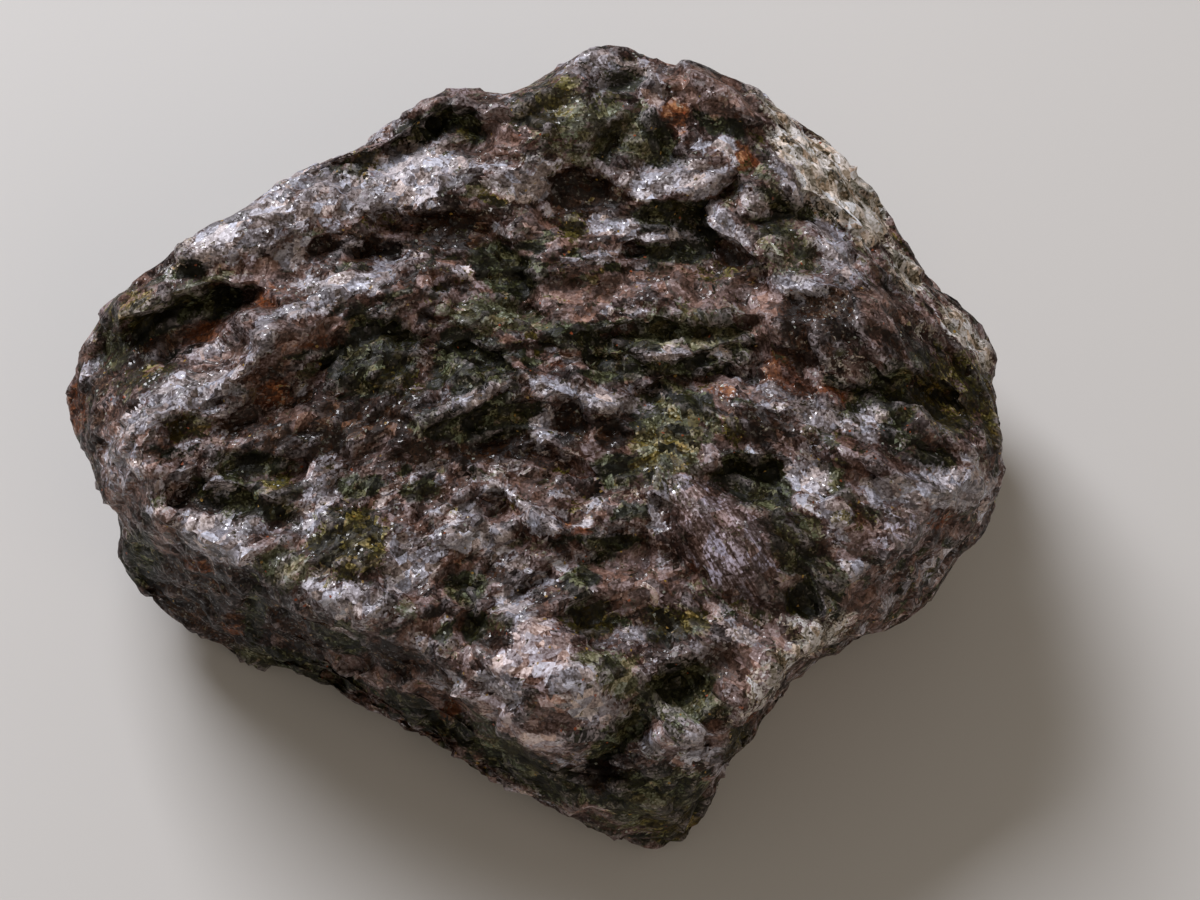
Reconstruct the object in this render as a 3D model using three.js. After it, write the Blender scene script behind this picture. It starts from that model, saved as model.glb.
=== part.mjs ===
// A raw merlinite stone: one hand-sized lump of broken gabbro, mauve-grey feldspar grown through with dark
// green hornblende. It lies on its flattest broken face, and its broad rough face looks up and to the front.
// Millimetres, +Z up, +Y to the back. The origin is on the surface it lies on, under the middle of the stone.

import * as THREE from 'three';
import { mergeVertices } from 'three/addons/utils/BufferGeometryUtils.js';
import { ImprovedNoise } from 'three/addons/math/ImprovedNoise.js';

// Driving dimensions
const WIDTH = 61.4;            // across the stone, from its left tip to its right edge
const CORE_HEIGHT = 11.5;      // the stone's core above the surface it lies on
const SIGHT_ELEVATION = 62;    // degrees above the surface: the broad face is described as seen from there
const SIGHT_DISTANCE = 222;    // from the core to the eye that sees it so
const EDGE_WEAR = 2.2;         // how far two broken faces blend where they meet
const MESH_DETAIL = 21;        // 20 * (MESH_DETAIL + 1) ** 2 facets in all
const FRONT_SHARE = 0.3;       // 0 spreads the facets evenly, more draws them to the broad face
const FACET_SPREAD = [31, 26, 14]; // half the stone's length, width and height, to even out the facets
const CREST_HOLD = 0.5;        // corners of facets this near a crest are moved onto it

// Places on the broad face are told as the eye sees them, in steps to the right and down. The core is at
// CORE_IN_VIEW, and the stone is as many steps wide as its outline.
const CORE_IN_VIEW = [540, 450];

// The outline, from the left tip over the top and round.
const OUTLINE = [
  [70, 389], [77, 368], [99, 330], [120, 300], [162, 267], [208, 222], [247, 200], [266, 182],
  [310, 161], [365, 139], [395, 128], [432, 102], [451, 92], [477, 93], [502, 100], [517, 97],
  [558, 72], [595, 50], [616, 52], [636, 57], [671, 70], [709, 75], [734, 84], [757, 92],
  [763, 105], [805, 129], [840, 148], [849, 164], [872, 196], [883, 205], [894, 228], [919, 275],
  [945, 295], [958, 304], [980, 330], [990, 346], [992, 383], [996, 407], [1003, 426], [1002, 442],
  [1008, 466], [1002, 493], [990, 508], [977, 537], [952, 556], [947, 568], [921, 606], [890, 625],
  [873, 632], [846, 641], [825, 660], [790, 690], [760, 727], [747, 743], [743, 757], [726, 765],
  [728, 782], [722, 800], [709, 827], [695, 841], [683, 850], [660, 848], [636, 846], [590, 832],
  [500, 783], [420, 738], [350, 708], [329, 690], [284, 674], [232, 665], [206, 648], [170, 622],
  [156, 605], [136, 596], [123, 575], [122, 552], [125, 528], [120, 511], [117, 497], [103, 488],
  [100, 471], [88, 449], [79, 432],
];

// Broken faces: the way each looks out, as degrees round from +X and above the surface, and how far it is
// from the core.
const BROKEN_FACES = [
  { name: 'broad face', azimuth: -90, elevation: 76, away: 11.0 },
  { name: 'pale right shoulder', azimuth: 11, elevation: 51, away: 23.3 },
  { name: 'right end', azimuth: -16, elevation: 38, away: 27.5 },
  { name: 'right front wall', azimuth: -46, elevation: 0, away: 24.9 },
  { name: 'front wall', azimuth: -84, elevation: 6, away: 25.1 },
  { name: 'left front wall', azimuth: -120.6, elevation: 0, away: 20.4 },
  { name: 'left end', azimuth: -160, elevation: 32, away: 27.0 },
  { name: 'back left edge', azimuth: 144, elevation: 64, away: 22.9 },
  { name: 'back left wall', azimuth: 122, elevation: 4, away: 22.6 },
  { name: 'back wall', azimuth: 84, elevation: -6, away: 22.2 },
  { name: 'back right wall', azimuth: 47, elevation: 6, away: 26.8 },
  { name: 'left underside', azimuth: -172, elevation: -40, away: 24.6 },
  { name: 'front left underside', azimuth: -128, elevation: -50, away: 23.4 },
  { name: 'right underside', azimuth: -8, elevation: -40, away: 25.0 },
  { name: 'front right underside', azimuth: -58, elevation: -46, away: 27.8 },
  { name: 'back left underside', azimuth: 140, elevation: -40, away: 23.5 },
  { name: 'back right underside', azimuth: 62, elevation: -44, away: 23.0 },
  { name: 'resting face', azimuth: 0, elevation: -90, away: CORE_HEIGHT + 0.4 },
];

// Ledges on the broad face. The stone drops away on the lower side of each crest over the scarp, then rises
// again over the reach. Drops, scarps and reaches are millimetres.
const LEDGES = [
  { name: 'left green ledge', drop: 2.6, scarp: 1.0, reach: 4.0,
    crest: [[100, 330], [125, 318], [150, 307], [185, 296], [215, 284], [240, 278], [255, 286]] },
  { name: 'top rim', drop: 2.3, scarp: 0.9, reach: 3.0,
    crest: [[338, 155], [370, 147], [400, 133], [432, 112], [452, 103], [472, 106], [484, 120]] },
  { name: 'dark crystal edge', drop: 1.6, scarp: 0.9, reach: 4.5,
    crest: [[398, 214], [450, 203], [495, 212], [522, 240], [541, 275], [545, 306]] },
  { name: 'hook hollow lip', drop: 1.1, scarp: 0.9, reach: 1.6,
    crest: [[322, 240], [345, 228], [375, 232], [395, 246]] },
  { name: 'lens lip', drop: 1.1, scarp: 0.9, reach: 3.0,
    crest: [[322, 350], [350, 318], [385, 311], [418, 330]] },
  { name: 'second lens lip', drop: 1.0, scarp: 0.9, reach: 2.4,
    crest: [[438, 352], [460, 338], [485, 340], [506, 356]] },
  { name: 'crown hollow lip', drop: 1.3, scarp: 0.9, reach: 2.2,
    crest: [[600, 140], [615, 118], [640, 108], [665, 120], [684, 150]] },
  { name: 'crown notch lip', drop: 0.9, scarp: 0.9, reach: 1.8, crest: [[606, 76], [625, 66], [646, 80]] },
  { name: 'white streak', drop: 1.6, scarp: 0.9, reach: 3.0,
    crest: [[598, 165], [630, 192], [655, 201], [690, 200], [716, 184]] },
  { name: 'small black step', drop: 1.3, scarp: 0.9, reach: 1.8,
    crest: [[640, 242], [665, 238], [700, 242], [714, 256]] },
  { name: 'brown dome lip', drop: 1.5, scarp: 0.9, reach: 4.0,
    crest: [[705, 220], [735, 244], [757, 258], [770, 281], [790, 290], [836, 289]] },
  { name: 'shoulder hollow lip', drop: 1.9, scarp: 0.9, reach: 2.4,
    crest: [[772, 206], [790, 192], [815, 191], [838, 203], [850, 222]] },
  { name: 'upper layer', drop: 0.9, scarp: 0.9, reach: 1.6,
    crest: [[598, 328], [640, 318], [700, 322], [748, 316]] },
  { name: 'middle layer', drop: 0.9, scarp: 0.9, reach: 1.6,
    crest: [[612, 352], [655, 357], [700, 352], [752, 340]] },
  { name: 'lower layer', drop: 0.8, scarp: 0.9, reach: 1.5, crest: [[640, 382], [690, 373], [748, 360]] },
  { name: 'black hollow lip', drop: 2.0, scarp: 0.9, reach: 2.8,
    crest: [[712, 464], [730, 452], [765, 455], [790, 451], [802, 472]] },
  { name: 'right hollow lip', drop: 1.9, scarp: 0.9, reach: 3.2,
    crest: [[852, 388], [870, 371], [900, 366], [940, 373], [966, 396]] },
  { name: 'upper left groove', drop: 1.2, scarp: 0.9, reach: 1.6,
    crest: [[178, 471], [205, 458], [240, 448], [291, 454]] },
  { name: 'lower left groove', drop: 1.1, scarp: 0.9, reach: 1.6,
    crest: [[190, 480], [225, 481], [262, 492], [292, 506]] },
  { name: 'under ledge', drop: 1.2, scarp: 0.9, reach: 2.0,
    crest: [[588, 537], [620, 530], [650, 536], [664, 546]] },
  { name: 'white fleck edge', drop: 0.9, scarp: 0.9, reach: 1.8,
    crest: [[560, 447], [590, 462], [604, 480]] },
  { name: 'striped crystal foot', drop: 1.1, scarp: 0.9, reach: 3.0,
    crest: [[700, 568], [760, 591], [800, 596], [850, 583], [892, 560]] },
  { name: 'blue-grey edge', drop: 1.2, scarp: 0.9, reach: 2.6,
    crest: [[300, 612], [340, 625], [380, 636], [420, 656], [456, 690]] },
  { name: 'white bulge foot', drop: 1.8, scarp: 0.9, reach: 3.5,
    crest: [[468, 700], [500, 728], [535, 752], [570, 757], [600, 744]] },
  { name: 'valley wall', drop: 2.2, scarp: 1.0, reach: 3.6,
    crest: [[598, 740], [640, 705], [680, 675], [716, 652]] },
  { name: 'front wall layer', drop: 1.4, scarp: 0.9, reach: 2.2,
    crest: [[165, 578], [215, 590], [262, 612], [300, 640], [338, 652]] },
  { name: 'front wall foot', drop: 1.3, scarp: 0.9, reach: 2.4,
    crest: [[340, 672], [385, 682], [425, 698], [462, 724], [500, 748]] },
];

// Ridges: each rises to its crest by so many millimetres, from so far above it and from so far below it.
const RIDGES = [
  { name: 'long pale ridge, lower half', rise: 1.3, above: 3.2, below: 4.6,
    crest: [[116, 442], [150, 418], [205, 406], [240, 380], [262, 343]] },
  { name: 'long pale ridge, upper half', rise: 1.3, above: 3.2, below: 4.6,
    crest: [[262, 343], [300, 312], [345, 292], [395, 288]] },
  { name: 'middle ridge', rise: 1.3, above: 2.4, below: 3.6,
    crest: [[425, 424], [470, 400], [515, 368], [560, 390], [610, 406]] },
  { name: 'left white ridge', rise: 0.9, above: 1.5, below: 1.6,
    crest: [[168, 520], [205, 538], [246, 553]] },
  { name: 'left thin ridge', rise: 0.6, above: 0.9, below: 0.9,
    crest: [[198, 471], [230, 478], [262, 487], [295, 501]] },
  { name: 'first diagonal ridge', rise: 0.8, above: 1.0, below: 1.0,
    crest: [[488, 476], [520, 500], [545, 518], [566, 536]] },
  { name: 'second diagonal ridge', rise: 0.7, above: 1.0, below: 1.0,
    crest: [[454, 488], [480, 510], [506, 536]] },
  { name: 'right grey ridge', rise: 0.7, above: 1.3, below: 1.6,
    crest: [[836, 402], [872, 424], [906, 448]] },
  { name: 'blue-white ridge', rise: 0.9, above: 1.5, below: 1.9,
    crest: [[850, 450], [890, 470], [930, 491], [962, 494]] },
  { name: 'lobe ridge', rise: 1.0, above: 1.4, below: 1.4,
    crest: [[660, 736], [698, 728], [714, 748], [722, 774]] },
  { name: 'cream ridge', rise: 0.6, above: 1.2, below: 1.0, crest: [[700, 213], [735, 238], [757, 252]] },
  { name: 'tan edge', rise: 0.7, above: 1.4, below: 1.4,
    crest: [[738, 722], [775, 680], [815, 648], [850, 628]] },
  { name: 'crown ridge', rise: 0.5, above: 1.2, below: 1.4, crest: [[650, 88], [700, 80], [745, 98]] },
  { name: 'front wall rib', rise: 0.9, above: 1.2, below: 1.6, crest: [[336, 664], [372, 676], [406, 682]] },
];

// Hollows and lumps on the broad face: the middle, half the length and width in millimetres, the turn of the
// length from level in degrees, and the depth, which is negative on a lump.
const HOLLOWS = [
  { name: 'left dark hollow', at: [178, 340], half: [5.0, 2.2], turn: 24, depth: 0.8 },
  { name: 'brown floor', at: [290, 392], half: [2.4, 2.0], turn: 20, depth: 0.9 },
  { name: 'dark middle', at: [500, 432], half: [4.4, 1.8], turn: 6, depth: 0.9 },
  { name: 'brown thumbprint', at: [574, 420], half: [1.3, 1.6], turn: -50, depth: 1.0 },
  { name: 'brown eye', at: [617, 428], half: [0.9, 1.1], turn: 0, depth: 0.9 },
  { name: 'knob hole', at: [325, 177], half: [1.0, 0.8], turn: 0, depth: 1.0 },
  { name: 'knob groove', at: [352, 172], half: [1.5, 0.6], turn: 50, depth: 0.9 },
  { name: 'rust hollow', at: [580, 210], half: [2.6, 1.7], turn: -20, depth: 0.9 },
  { name: 'pink-brown hollow', at: [590, 290], half: [3.0, 1.0], turn: -12, depth: 0.7 },
  { name: 'black hollow', at: [755, 482], half: [2.3, 1.6], turn: -10, depth: 1.0 },
  { name: 'right black hollow', at: [905, 398], half: [3.6, 1.5], turn: -14, depth: 1.1 },
  { name: 'rust basin', at: [800, 378], half: [2.6, 1.6], turn: -35, depth: 0.9 },
  { name: 'small eye', at: [470, 584], half: [1.4, 1.0], turn: 0, depth: 1.5 },
  { name: 'round pit', at: [480, 628], half: [1.0, 1.1], turn: 0, depth: 1.4 },
  { name: 'furrow', at: [500, 512], half: [3.2, 0.6], turn: -46, depth: 0.9 },
  { name: 'yellow basin', at: [640, 622], half: [4.8, 1.7], turn: -10, depth: 1.0 },
  { name: 'valley foot', at: [655, 715], half: [4.4, 1.2], turn: 42, depth: 1.4 },
  { name: 'green hollow', at: [815, 600], half: [2.2, 1.2], turn: 10, depth: 0.8 },
  { name: 'gold basin', at: [948, 372], half: [2.0, 1.4], turn: -40, depth: 0.8 },
  { name: 'dark hollow under lumps', at: [945, 458], half: [1.6, 0.7], turn: -20, depth: 0.9 },
  { name: 'left groove', at: [232, 425], half: [2.6, 0.9], turn: 20, depth: 0.8 },
  { name: 'purple hollow', at: [520, 568], half: [2.6, 1.2], turn: -30, depth: 0.7 },
  { name: 'dark cleft in the front wall', at: [255, 618], half: [0.9, 1.9], turn: -12, depth: 1.2 },
  { name: 'cleft under the ridge end', at: [150, 560], half: [1.0, 1.8], turn: -20, depth: 0.9 },
  { name: 'hollow beside the lobe', at: [600, 770], half: [3.6, 0.9], turn: -12, depth: 1.2 },
];
const LUMPS = [
  { name: 'upper left shoulder', at: [345, 196], half: [8.0, 2.4], turn: 24, depth: -0.9 },
  { name: 'top left facet', at: [235, 228], half: [3.8, 1.7], turn: 36, depth: -0.8 },
  { name: 'crown', at: [565, 115], half: [3.2, 3.0], turn: 20, depth: -0.9 },
  { name: 'brown crown', at: [728, 102], half: [3.2, 1.3], turn: -20, depth: -0.9 },
  { name: 'grey dome', at: [500, 320], half: [4.2, 1.5], turn: -18, depth: -0.9 },
  { name: 'dark ball', at: [574, 336], half: [1.8, 1.4], turn: 0, depth: -0.8 },
  { name: 'pink tooth', at: [776, 318], half: [1.3, 1.9], turn: 12, depth: -1.3 },
  { name: 'brown dome', at: [850, 325], half: [4.4, 3.2], turn: -24, depth: -1.7 },
  { name: 'striped crystal', at: [725, 528], half: [4.8, 2.7], turn: -46, depth: -1.2 },
  { name: 'right lumps', at: [972, 482], half: [1.7, 1.1], turn: 20, depth: -0.8 },
  { name: 'white bulge', at: [545, 668], half: [4.6, 3.6], turn: -30, depth: -1.6 },
  { name: 'blue-grey roll', at: [360, 600], half: [4.4, 1.6], turn: -16, depth: -1.0 },
  { name: 'white lump', at: [455, 528], half: [1.7, 1.0], turn: -12, depth: -1.0 },
  { name: 'pale tooth', at: [552, 525], half: [1.3, 0.9], turn: -36, depth: -0.8 },
  { name: 'mossy patch', at: [350, 545], half: [3.0, 2.6], turn: -30, depth: -0.6 },
  { name: 'left mauve roll', at: [145, 480], half: [2.0, 4.2], turn: 8, depth: -1.0 },
  { name: 'upper lens', at: [372, 356], half: [3.2, 2.2], turn: 8, depth: -0.8 },
  { name: 'second lens', at: [472, 368], half: [1.9, 1.4], turn: 4, depth: -0.6 },
  { name: 'right block', at: [712, 690], half: [2.6, 2.2], turn: 40, depth: -0.9 },
  { name: 'front foot lump', at: [650, 800], half: [4.0, 2.6], turn: -10, depth: -1.3 },
  { name: 'centre knob', at: [735, 420], half: [2.2, 1.4], turn: -20, depth: -0.6 },
  { name: 'amber band', at: [315, 332], half: [2.2, 0.7], turn: 8, depth: -0.6 },
];

// Roughness of the broken stone, from the widest swells to the coarsest grain: wave length and height.
const SWELLS = [[13, 1.0], [6.5, 0.6], [3.1, 0.34]];
const SEEN_SHARE = 0.45;       // share of the swells on the broad face, which has its own relief
const HIDDEN_SHARE = 1.2;      // and on the other sides
const HIDDEN_STEP = 1.5;       // height of the steps on the other sides
const HIDDEN_STEP_WAVE = 11;   // and the distance over which they wander
const STEPS_IN_WAVE = 3;       // steps from the lowest to the highest
const RIM_LIFT = 0.4;          // brings the sides out to the outline
const MOST_PROUD = 0.6;        // the most that roughness may stand out from a broken face
const MOST_PROUD_AT_RIM = 0.3; // and from the outline
const MOST_SUNK = -4;          // the most that roughness may cut into a broken face
const MOST_SUNK_AT_RIM = -0.4; // and into the outline

const DEGREE = Math.PI / 180;
const noise = new ImprovedNoise();

// The sight frame: right, up the broad face, and out towards the eye.
const RIGHT = new THREE.Vector3(1, 0, 0);
const UP = new THREE.Vector3(0, Math.sin(SIGHT_ELEVATION * DEGREE), Math.cos(SIGHT_ELEVATION * DEGREE));
const OUT = new THREE.Vector3(0, -Math.cos(SIGHT_ELEVATION * DEGREE), Math.sin(SIGHT_ELEVATION * DEGREE));
const toStone = new THREE.Matrix4().makeBasis(RIGHT, UP, OUT);
const toSight = toStone.clone().invert();

// From a place in the view to millimetres right of the core and up.
const stepsAcross = OUTLINE.map(([right]) => right);
const viewStep = WIDTH / (Math.max(...stepsAcross) - Math.min(...stepsAcross));
function fromCore([right, down]) {
  return [(right - CORE_IN_VIEW[0]) * viewStep, (CORE_IN_VIEW[1] - down) * viewStep];
}
const outline = OUTLINE.map(fromCore);
const ledges = LEDGES.map((ledge) => ({ ...ledge, crest: ledge.crest.map(fromCore) }));
const ridges = RIDGES.map((ridge) => ({ ...ridge, crest: ridge.crest.map(fromCore) }));
const hollowsAndLumps = [...HOLLOWS, ...LUMPS].map((hollow) => ({ ...hollow, at: fromCore(hollow.at) }));

function smoothstep(from, to, x) {
  const t = Math.min(Math.max((x - from) / (to - from), 0), 1);
  return t * t * (3 - 2 * t);
}

// The lesser of two distances, eased into the other over the wear.
function worn(a, b, wear) {
  const near = Math.max(wear - Math.abs(a - b), 0) / wear;
  return Math.min(a, b) - near * near * wear / 4;
}

function faceNormal({ azimuth, elevation }) {
  const level = Math.cos(elevation * DEGREE);
  return new THREE.Vector3(
    level * Math.cos(azimuth * DEGREE), level * Math.sin(azimuth * DEGREE), Math.sin(elevation * DEGREE),
  ).applyMatrix4(toSight);
}
const faces = BROKEN_FACES.map((face) => ({ normal: faceNormal(face), away: face.away }));

// How far the outline is from the core at an angle round the sight line.
function outlineReach(angle) {
  const ray = [Math.cos(angle), Math.sin(angle)];
  for (let i = 0; i < outline.length; i++) {
    const [a, b] = [outline[i], outline[(i + 1) % outline.length]];
    const side = [b[0] - a[0], b[1] - a[1]];
    const cross = ray[0] * side[1] - ray[1] * side[0];
    const reach = (a[0] * side[1] - a[1] * side[0]) / cross;
    const along = (a[0] * ray[1] - a[1] * ray[0]) / cross;
    if (reach > 0 && along >= 0 && along < 1) return reach;
  }
  return Math.hypot(...outline[0]);
}

// The point of the plain broken block in one direction from the core, in the sight frame.
function blockPoint(direction) {
  const level = Math.hypot(direction.x, direction.y);
  let reach = level > 1e-6 ? outlineReach(Math.atan2(direction.y, direction.x)) / level : 1e3;
  for (const { normal, away } of faces) {
    const facing = normal.dot(direction);
    if (facing > 1e-3) reach = worn(reach, away / facing, EDGE_WEAR);
  }
  return direction.clone().multiplyScalar(reach);
}

// The nearest point of a crest, how far x, y lies from it and below it, and how far past its ends.
function besideCrest(crest, x, y) {
  let best = { distance: 1e3 };
  for (let i = 0; i + 1 < crest.length; i++) {
    const [[ax, ay], [bx, by]] = [crest[i], crest[i + 1]];
    const length = Math.hypot(bx - ax, by - ay);
    const [tx, ty] = [(bx - ax) / length, (by - ay) / length];
    const along = (x - ax) * tx + (y - ay) * ty;
    const held = Math.min(Math.max(along, 0), length);
    const foot = [ax + held * tx, ay + held * ty];
    const distance = Math.hypot(x - foot[0], y - foot[1]);
    if (distance < best.distance) {
      best = { foot, distance, below: (x - ax) * ty - (y - ay) * tx, past: Math.abs(along - held) };
    }
  }
  return best;
}

// Corners near a crest are moved onto it, so that its edge is a clean line.
function holdToCrests(point) {
  for (const { crest } of [...ledges, ...ridges]) {
    const { foot, distance, past } = besideCrest(crest, point.x, point.y);
    if (distance < CREST_HOLD && past < 0.1) {
      point.x = foot[0];
      point.y = foot[1];
      return;
    }
  }
}

function ledgeDepth({ drop, scarp, reach, crest }, x, y) {
  const { below, distance, past } = besideCrest(crest, x, y);
  if (below <= 0) return 0;
  const risen = Math.exp(-1.6 * Math.max(distance - scarp, 0) / reach);
  return drop * smoothstep(0, scarp, distance) * risen * (1 - smoothstep(0.2, 2.4, past));
}

function ridgeDepth({ rise, above, below, crest }, x, y) {
  const beside = besideCrest(crest, x, y);
  const away = beside.distance / (beside.below > 0 ? below : above);
  return away < 1 ? -rise * (1 - away) ** 1.5 : 0;
}

function hollowDepth({ at, half, turn, depth }, x, y) {
  const [c, s] = [Math.cos(turn * DEGREE), Math.sin(turn * DEGREE)];
  const along = ((x - at[0]) * c + (y - at[1]) * s) / half[0];
  const across = ((y - at[1]) * c - (x - at[0]) * s) / half[1];
  return depth * (1 - smoothstep(0.35, 1.35, Math.hypot(along, across)));
}

function reliefDepth(x, y) {
  const cut = ledges.reduce((sum, ledge) => sum + ledgeDepth(ledge, x, y), 0);
  const raised = ridges.reduce((sum, ridge) => sum + ridgeDepth(ridge, x, y), cut);
  return hollowsAndLumps.reduce((sum, hollow) => sum + hollowDepth(hollow, x, y), raised);
}

function swell(p) {
  return SWELLS.reduce((sum, [wave, height], i) =>
    sum + height * noise.noise(p.x / wave + 7.3 * i, p.y / wave + 2.1, p.z / wave - 4.7 * i), 0);
}

// Steps with worn edges, as gabbro breaks along its feldspar.
function steps(p) {
  const [x, y, z] = p.toArray().map((value) => value / HIDDEN_STEP_WAVE);
  const level = STEPS_IN_WAVE * noise.noise(x + 3.1, y, z + 9.4);
  const tread = Math.floor(level);
  return HIDDEN_STEP * (tread + smoothstep(0.55, 0.95, level - tread) - level / 2);
}

// The block with a point for each vertex, then its relief, cut into it along the sight line.
function stoneGeometry() {
  let geometry = new THREE.IcosahedronGeometry(1, MESH_DETAIL);
  geometry.deleteAttribute('normal');
  geometry.deleteAttribute('uv');
  geometry = mergeVertices(geometry, 1e-4);
  const position = geometry.getAttribute('position');
  const spread = new THREE.Vector3(...FACET_SPREAD);
  const point = new THREE.Vector3();
  for (let i = 0; i < position.count; i++) {
    point.fromBufferAttribute(position, i);
    point.z += FRONT_SHARE;
    point.multiply(spread).normalize().copy(blockPoint(point));
    position.setXYZ(i, ...point);
  }
  geometry.computeVertexNormals();
  const normals = geometry.getAttribute('normal').clone();
  const normal = new THREE.Vector3();
  for (let i = 0; i < position.count; i++) {
    point.fromBufferAttribute(position, i);
    normal.fromBufferAttribute(normals, i);
    const seen = smoothstep(0.05, 0.4, normal.z);
    const hidden = 1 - seen;
    const rim = 1 - smoothstep(0.05, 0.4, Math.abs(normal.z));
    const share = THREE.MathUtils.lerp(SEEN_SHARE, HIDDEN_SHARE, hidden);
    const roughness = swell(point) * share + steps(point) * hidden + RIM_LIFT * rim;
    const most = THREE.MathUtils.lerp(MOST_PROUD, MOST_PROUD_AT_RIM, rim);
    const least = THREE.MathUtils.lerp(MOST_SUNK, MOST_SUNK_AT_RIM, rim);
    if (seen > 0.5) holdToCrests(point);
    point.addScaledVector(normal, THREE.MathUtils.clamp(roughness, least, most));
    point.z -= seen * reliefDepth(point.x, point.y);
    const nearer = (SIGHT_DISTANCE - point.z) / SIGHT_DISTANCE;
    point.x *= nearer;
    point.y *= nearer;
    point.applyMatrix4(toStone);
    point.z = Math.max(point.z + CORE_HEIGHT, 0);
    position.setXYZ(i, ...point);
  }
  geometry.deleteAttribute('normal');
  geometry.computeBoundingBox();
  const middle = geometry.boundingBox.getCenter(new THREE.Vector3());
  geometry.translate(-middle.x, -middle.y, 0);
  geometry.computeVertexNormals();
  return geometry;
}

const gabbro = new THREE.MeshStandardMaterial({
  name: 'gabbro', color: 0x5c5152, roughness: 0.55, metalness: 0, flatShading: true,
});
const stone = new THREE.Mesh(stoneGeometry(), gabbro);
stone.name = 'stone';

const merlinite = new THREE.Group();
merlinite.add(stone);

export default merlinite;
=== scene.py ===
import math
import random

import bpy
import numpy as np
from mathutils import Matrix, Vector, kdtree, noise


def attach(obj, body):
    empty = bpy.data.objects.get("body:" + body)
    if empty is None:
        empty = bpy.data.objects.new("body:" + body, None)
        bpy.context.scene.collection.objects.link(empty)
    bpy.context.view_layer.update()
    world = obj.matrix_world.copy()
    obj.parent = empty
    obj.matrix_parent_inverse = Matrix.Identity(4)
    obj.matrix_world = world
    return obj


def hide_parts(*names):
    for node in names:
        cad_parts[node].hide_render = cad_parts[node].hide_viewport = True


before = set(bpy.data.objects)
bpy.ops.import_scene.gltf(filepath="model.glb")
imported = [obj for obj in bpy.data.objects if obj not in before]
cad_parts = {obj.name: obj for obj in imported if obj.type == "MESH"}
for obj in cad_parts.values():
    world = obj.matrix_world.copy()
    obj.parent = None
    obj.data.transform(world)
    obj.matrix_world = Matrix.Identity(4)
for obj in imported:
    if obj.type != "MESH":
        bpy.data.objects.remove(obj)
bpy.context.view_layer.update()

# The stone: one lump of indigo gabbro, broken off a larger rock and never worked. Mauve-grey feldspar is
# grown through with dark green hornblende and brown mica, in crystals of 1 to 4 mm. The solid that has its
# main forms is copied, joined up and cut finer, and the corners of its facets are eased.
MM = 0.001
JOINED_WITHIN = 0.01      # millimetres
CUTS = 3
EASING = 1

bpy.ops.object.select_all(action="DESELECT")
solid = bpy.data.objects["stone"]
stone = solid.copy()
stone.data = solid.data.copy()
stone.name = "rough_stone"
stone.data.name = "rough_stone"
stone.data.materials.clear()
bpy.context.collection.objects.link(stone)
stone.select_set(True)
bpy.context.view_layer.objects.active = stone
bpy.ops.object.mode_set(mode="EDIT")
bpy.ops.mesh.select_all(action="SELECT")
bpy.ops.mesh.remove_doubles(threshold=JOINED_WITHIN * MM)
bpy.ops.mesh.subdivide(number_cuts=CUTS, smoothness=0)
bpy.ops.mesh.vertices_smooth(factor=0.5, repeat=EASING)
bpy.ops.object.mode_set(mode="OBJECT")


def corners():
    flat = np.empty(len(stone.data.vertices) * 3)
    stone.data.vertices.foreach_get("co", flat)
    return flat.reshape(-1, 3) / MM


def normals():
    flat = np.empty(len(stone.data.vertices) * 3)
    stone.data.vertices.foreach_get("normal", flat)
    return flat.reshape(-1, 3)


def move_corners(points):
    stone.data.vertices.foreach_set("co", (points * MM).ravel())
    stone.data.update()


# Lips: sharp steps where a layer of crystals has come away along the break. The broad face is told as it is
# seen from high in front, with places in steps to the right and down in that view, and sizes in millimetres.
CORE = np.array((0.095, 0.473, 11.5))    # middle of the stone's bulk, above the surface it lies on
SIGHT_ELEVATION = math.radians(62)       # how high in front the eye is
SIGHT_DISTANCE = 222.0                   # and how far from the core
WIDTH = 61.4                             # across the stone
WIDTH_IN_VIEW = 938                      # and the same in steps
CORE_IN_VIEW = (540, 450)
RIGHT = np.array((1.0, 0.0, 0.0))
UP = np.array((0, math.sin(SIGHT_ELEVATION), math.cos(SIGHT_ELEVATION)))
OUT = np.array((0, -math.cos(SIGHT_ELEVATION), math.sin(SIGHT_ELEVATION)))
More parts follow.
